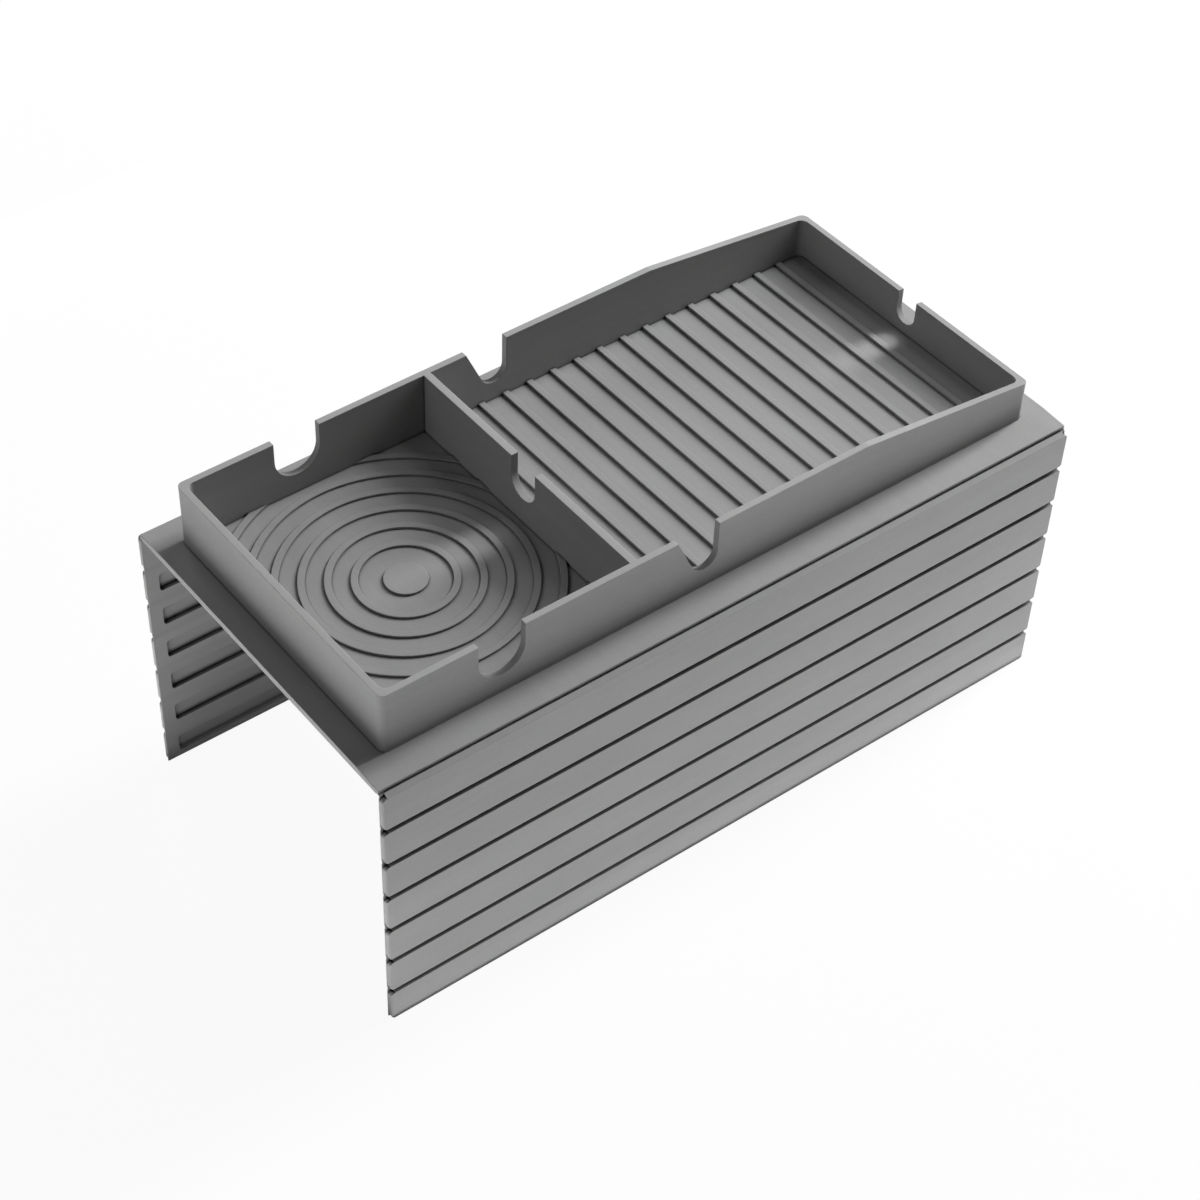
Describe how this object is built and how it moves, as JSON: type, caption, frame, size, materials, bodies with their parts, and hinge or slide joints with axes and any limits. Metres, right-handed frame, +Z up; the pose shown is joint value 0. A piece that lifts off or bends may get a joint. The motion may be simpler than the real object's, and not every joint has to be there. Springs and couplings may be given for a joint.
{
  "type": "sofa arm tray",
  "caption": "Walled tray with a ringed cup bay and a ribbed snack bay on a flat deck, with a hinged slat skirt hanging from each long edge to grip a sofa arm.",
  "frame": {"origin": "middle of the deck's flat underside, where the deck rests on the sofa arm", "axes": "+Z up; +X along the sofa arm, from the cup bay to the low end of the tray; +Y across the arm, to the far skirt"},
  "size_m": [0.33, 0.1668, 0.1586],
  "materials": {
    "silicone": "matte"
  },
  "bodies": {
    "tray": {"tray_body": "silicone", "near_web_1": "silicone", "far_web_1": "silicone"},
    "near_strip_1": {"near_slat_1": "silicone", "near_web_2": "silicone"},
    "near_strip_2": {"near_slat_2": "silicone", "near_web_3": "silicone"},
    "near_strip_3": {"near_slat_3": "silicone", "near_web_4": "silicone"},
    "near_strip_4": {"near_slat_4": "silicone", "near_web_5": "silicone"},
    "near_strip_5": {"near_slat_5": "silicone", "near_web_6": "silicone"},
    "near_strip_6": {"near_slat_6": "silicone", "near_web_7": "silicone"},
    "near_strip_7": {"near_slat_7": "silicone"},
    "far_strip_1": {"far_slat_1": "silicone", "far_web_2": "silicone"},
    "far_strip_2": {"far_slat_2": "silicone", "far_web_3": "silicone"},
    "far_strip_3": {"far_slat_3": "silicone", "far_web_4": "silicone"},
    "far_strip_4": {"far_slat_4": "silicone", "far_web_5": "silicone"},
    "far_strip_5": {"far_slat_5": "silicone", "far_web_6": "silicone"},
    "far_strip_6": {"far_slat_6": "silicone", "far_web_7": "silicone"},
    "far_strip_7": {"far_slat_7": "silicone"}
  },
  "joints": [
    {"name": "near_hinge_1", "type": "hinge", "parent": "tray", "child": "near_strip_1", "pos_m": [0, -0.0813, 0.0003], "axis": [1, 0, 0], "range_deg": [-90, 30], "stiffness_Nm_per_rad": 0.02, "deforming": ["near_web_1"]},
    {"name": "near_hinge_2", "type": "hinge", "parent": "near_strip_1", "child": "near_strip_2", "pos_m": [0, -0.08105, -0.0174], "axis": [1, 0, 0], "range_deg": [-35, 20], "stiffness_Nm_per_rad": 0.02, "deforming": ["near_web_2"]},
    {"name": "near_hinge_3", "type": "hinge", "parent": "near_strip_2", "child": "near_strip_3", "pos_m": [0, -0.08105, -0.03595], "axis": [1, 0, 0], "range_deg": [-35, 20], "stiffness_Nm_per_rad": 0.02, "deforming": ["near_web_3"]},
    {"name": "near_hinge_4", "type": "hinge", "parent": "near_strip_3", "child": "near_strip_4", "pos_m": [0, -0.08105, -0.0545], "axis": [1, 0, 0], "range_deg": [-35, 20], "stiffness_Nm_per_rad": 0.02, "deforming": ["near_web_4"]},
    {"name": "near_hinge_5", "type": "hinge", "parent": "near_strip_4", "child": "near_strip_5", "pos_m": [0, -0.08105, -0.07305], "axis": [1, 0, 0], "range_deg": [-35, 20], "stiffness_Nm_per_rad": 0.02, "deforming": ["near_web_5"]},
    {"name": "near_hinge_6", "type": "hinge", "parent": "near_strip_5", "child": "near_strip_6", "pos_m": [0, -0.08105, -0.0916], "axis": [1, 0, 0], "range_deg": [-35, 20], "stiffness_Nm_per_rad": 0.02, "deforming": ["near_web_6"]},
    {"name": "near_hinge_7", "type": "hinge", "parent": "near_strip_6", "child": "near_strip_7", "pos_m": [0, -0.08105, -0.11015], "axis": [1, 0, 0], "range_deg": [-35, 20], "stiffness_Nm_per_rad": 0.02, "deforming": ["near_web_7"]},
    {"name": "far_hinge_1", "type": "hinge", "parent": "tray", "child": "far_strip_1", "pos_m": [0, 0.0813, 0.0003], "axis": [1, 0, 0], "range_deg": [-30, 90], "stiffness_Nm_per_rad": 0.02, "deforming": ["far_web_1"]},
    {"name": "far_hinge_2", "type": "hinge", "parent": "far_strip_1", "child": "far_strip_2", "pos_m": [0, 0.08105, -0.0174], "axis": [1, 0, 0], "range_deg": [-20, 35], "stiffness_Nm_per_rad": 0.02, "deforming": ["far_web_2"]},
    {"name": "far_hinge_3", "type": "hinge", "parent": "far_strip_2", "child": "far_strip_3", "pos_m": [0, 0.08105, -0.03595], "axis": [1, 0, 0], "range_deg": [-20, 35], "stiffness_Nm_per_rad": 0.02, "deforming": ["far_web_3"]},
    {"name": "far_hinge_4", "type": "hinge", "parent": "far_strip_3", "child": "far_strip_4", "pos_m": [0, 0.08105, -0.0545], "axis": [1, 0, 0], "range_deg": [-20, 35], "stiffness_Nm_per_rad": 0.02, "deforming": ["far_web_4"]},
    {"name": "far_hinge_5", "type": "hinge", "parent": "far_strip_4", "child": "far_strip_5", "pos_m": [0, 0.08105, -0.07305], "axis": [1, 0, 0], "range_deg": [-20, 35], "stiffness_Nm_per_rad": 0.02, "deforming": ["far_web_5"]},
    {"name": "far_hinge_6", "type": "hinge", "parent": "far_strip_5", "child": "far_strip_6", "pos_m": [0, 0.08105, -0.0916], "axis": [1, 0, 0], "range_deg": [-20, 35], "stiffness_Nm_per_rad": 0.02, "deforming": ["far_web_6"]},
    {"name": "far_hinge_7", "type": "hinge", "parent": "far_strip_6", "child": "far_strip_7", "pos_m": [0, 0.08105, -0.11015], "axis": [1, 0, 0], "range_deg": [-20, 35], "stiffness_Nm_per_rad": 0.02, "deforming": ["far_web_7"]}
  ]
}
